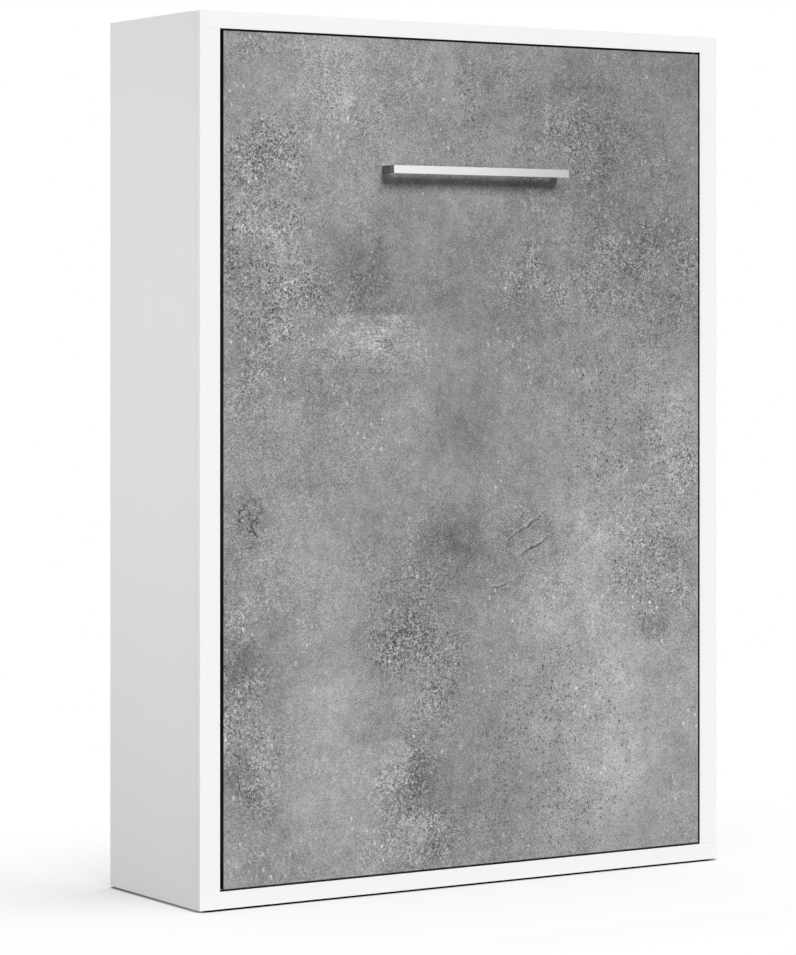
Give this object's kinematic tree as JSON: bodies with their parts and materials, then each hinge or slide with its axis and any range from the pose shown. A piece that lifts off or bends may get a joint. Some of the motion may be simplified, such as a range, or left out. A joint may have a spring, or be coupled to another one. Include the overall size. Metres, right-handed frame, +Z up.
{
  "type": "wall bed",
  "caption": "Upright wall bed: white board cabinet, concrete-look front panel with bar handle, tube bed frame on pivot pins, folding legs and gas springs.",
  "frame": {"origin": "on the floor under the middle of the closed bed's bounding box", "axes": "+Z up, +X across the width, +Y back towards the wall, so that the front panel faces -Y"},
  "size_m": [1.56, 0.517, 2.17],
  "materials": {
    "white_board": "white melamine-faced board",
    "concrete_board": "board with a grey concrete-look laminate",
    "black_edging": "black edging strip",
    "handle_metal": "satin nickel finish",
    "black_steel": "black powder coating",
    "zinc_steel": "bright zinc plating",
    "beech": "clear-coated beech plywood",
    "black_plastic": "moulded black plastic",
    "white_plastic": "moulded white plastic",
    "black_rubber": "black rubber",
    "strut_paint": "black painted steel tube",
    "strut_chrome": "ground and plated rod"
  },
  "bodies": {
    "cabinet": {"side_panel_left": "white_board", "side_panel_right": "white_board", "top_panel": "white_board", "bottom_panel": "white_board", "upper_back_rail": "white_board", "head_back_rail": "white_board", "lower_back_rail": "white_board", "frame_top_rail": "white_board", "frame_bottom_rail": "white_board", "frame_upright_left": "white_board", "frame_upright_right": "white_board", "floor_glides": "black_plastic", "cam_fittings": "zinc_steel", "hinge_plate_left": "zinc_steel", "hinge_plate_right": "zinc_steel", "hinge_plate_screws": "zinc_steel", "pivot_pins": "zinc_steel", "pivot_clips": "zinc_steel", "strut_anchor_studs": "zinc_steel", "closing_stop_brackets": "zinc_steel", "closing_stop_buffers": "black_rubber"},
    "bed": {"front_panel": "concrete_board", "panel_edging": "black_edging", "handle_bar": "handle_metal", "handle_posts": "handle_metal", "handle_screws": "zinc_steel", "bed_rail_left": "black_steel", "bed_rail_right": "black_steel", "head_end_rail": "black_steel", "foot_end_rail": "black_steel", "centre_beam": "black_steel", "tube_plugs": "black_plastic", "panel_brackets": "zinc_steel", "panel_screws": "zinc_steel", "slats_left": "beech", "slats_right": "beech", "slat_caps_left": "black_plastic", "slat_caps_right": "black_plastic", "slat_centre_caps": "black_plastic", "bed_pivot_plate_left": "zinc_steel", "bed_pivot_plate_right": "zinc_steel", "bed_plate_bolts": "zinc_steel", "pivot_bushes": "white_plastic", "strut_rod_studs": "zinc_steel", "mattress_bow_head": "black_steel", "mattress_bow_foot": "black_steel", "leg_pivot_bolts": "zinc_steel"},
    "leg_left": {"leg_left": "black_steel", "leg_foot_left": "black_rubber"},
    "cylinder_left": {"strut_cylinder_left": "strut_paint", "strut_upper_eye_left": "zinc_steel"},
    "rod_left": {"strut_rod_left": "strut_chrome", "strut_lower_eye_left": "zinc_steel"},
    "leg_right": {"leg_right": "black_steel", "leg_foot_right": "black_rubber"},
    "cylinder_right": {"strut_cylinder_right": "strut_paint", "strut_upper_eye_right": "zinc_steel"},
    "rod_right": {"strut_rod_right": "strut_chrome", "strut_lower_eye_right": "zinc_steel"}
  },
  "joints": [
    {"name": "bed_fold", "type": "hinge", "parent": "cabinet", "child": "bed", "pos_m": [0, -0.1635, 0.31], "axis": [1, 0, 0], "range_deg": [0, 90], "stiffness_Nm_per_rad": 300, "springref_deg": -14.32},
    {"name": "leg_fold_left", "type": "hinge", "parent": "bed", "child": "leg_left", "pos_m": [-0.7205, -0.1415, 1.95], "axis": [1, 0, 0], "range_deg": [-90, 0]},
    {"name": "strut_swing_left", "type": "hinge", "parent": "cabinet", "child": "cylinder_left", "pos_m": [-0.738, -0.14259, 0.5089], "axis": [1, 0, 0], "range_deg": [0, 45]},
    {"name": "rod_swing_left", "type": "hinge", "parent": "bed", "child": "rod_left", "pos_m": [-0.738, -0.12877, 0.11304], "axis": [1, 0, 0], "range_deg": [-45, 0]},
    {"name": "leg_fold_right", "type": "hinge", "parent": "bed", "child": "leg_right", "pos_m": [0.7205, -0.1415, 1.95], "axis": [1, 0, 0], "range_deg": [-90, 0]},
    {"name": "strut_swing_right", "type": "hinge", "parent": "cabinet", "child": "cylinder_right", "pos_m": [0.738, -0.14259, 0.5089], "axis": [1, 0, 0], "range_deg": [0, 45]},
    {"name": "rod_swing_right", "type": "hinge", "parent": "bed", "child": "rod_right", "pos_m": [0.738, -0.12877, 0.11304], "axis": [1, 0, 0], "range_deg": [-45, 0]}
  ],
  "couplings": [
    {"joint": "leg_fold_left", "follows": "bed_fold", "ratio": -1},
    {"joint": "strut_swing_left", "follows": "bed_fold", "ratio": 0.5},
    {"joint": "rod_swing_left", "follows": "bed_fold", "ratio": -0.5},
    {"joint": "leg_fold_right", "follows": "bed_fold", "ratio": -1},
    {"joint": "strut_swing_right", "follows": "bed_fold", "ratio": 0.5},
    {"joint": "rod_swing_right", "follows": "bed_fold", "ratio": -0.5}
  ]
}
